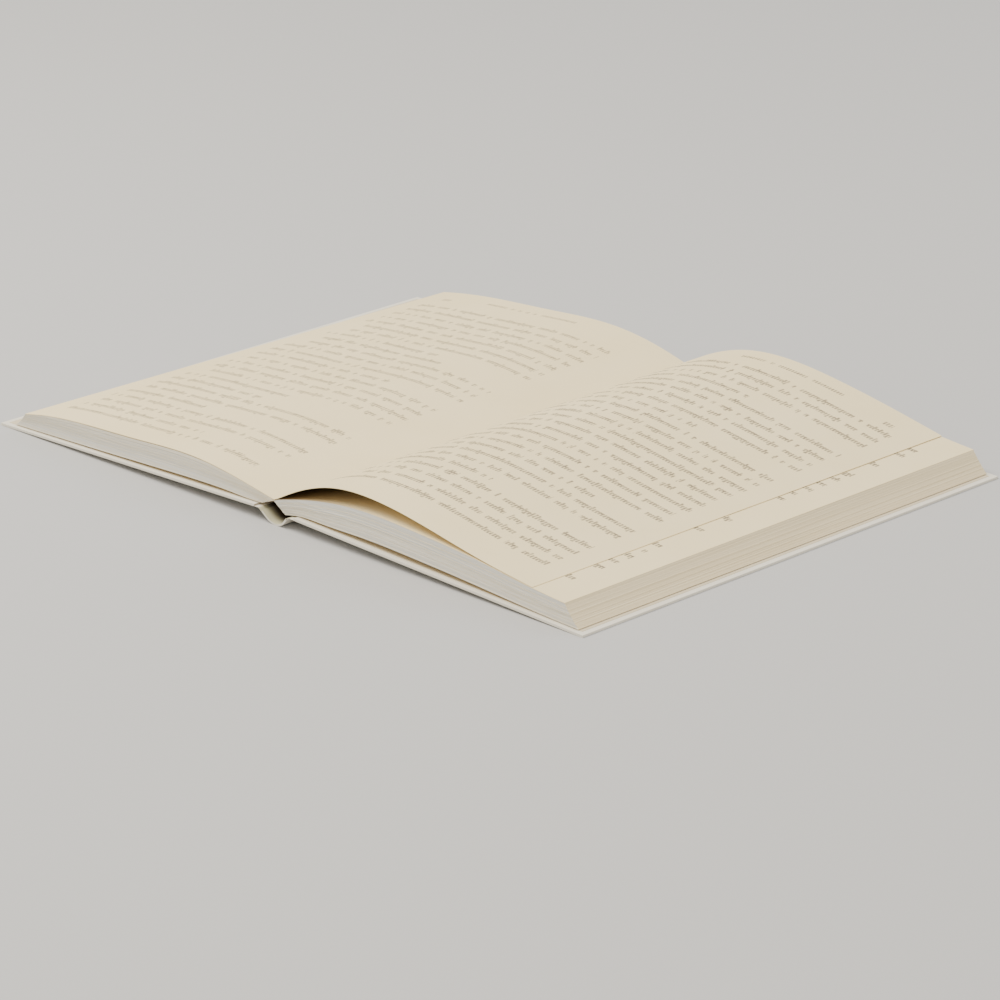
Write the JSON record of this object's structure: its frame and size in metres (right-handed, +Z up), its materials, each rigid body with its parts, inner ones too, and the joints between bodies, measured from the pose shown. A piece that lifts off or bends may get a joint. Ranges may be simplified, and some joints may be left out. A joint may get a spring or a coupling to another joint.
{
  "type": "open book",
  "caption": "Thin-board case-bound book lying open near its middle, the top right-hand leaf arched up off the page below, with both covers hinged along the spine.",
  "frame": {"origin": "on the surface the book lies on, under the middle of the spine, half way from tail to head", "axes": "+X across the spread from the front cover to the back cover, +Y up the page from tail to head, +Z up"},
  "size_m": [0.264, 0.19, 0.0195],
  "materials": {
    "leaves": "warm cream uncoated book paper, softly printed in grey",
    "endpaper": "plain cream endpaper",
    "covering_paper": "off-white matte covering paper",
    "inlay_paper": "pale greenish cream card",
    "board": "thin grey-buff board",
    "gauze": "open cotton gauze set in glue"
  },
  "bodies": {
    "block": {"text_block": "leaves", "spine_lining": "gauze", "spine_inlay": "inlay_paper", "spine_covering": "covering_paper"},
    "front_cover": {"front_board": "board", "front_covering": "covering_paper", "front_gauze": "gauze", "front_pastedown": "endpaper"},
    "back_cover": {"back_board": "board", "back_covering": "covering_paper", "back_gauze": "gauze", "back_pastedown": "endpaper"}
  },
  "joints": [
    {"name": "front_cover_hinge", "type": "hinge", "parent": "block", "child": "front_cover", "pos_m": [-0.00801, 0, 0.00386], "axis": [0, -1, 0], "range_deg": [0, 90]},
    {"name": "back_cover_hinge", "type": "hinge", "parent": "block", "child": "back_cover", "pos_m": [0.00801, 0, 0.00386], "axis": [0, 1, 0], "range_deg": [0, 90]}
  ]
}
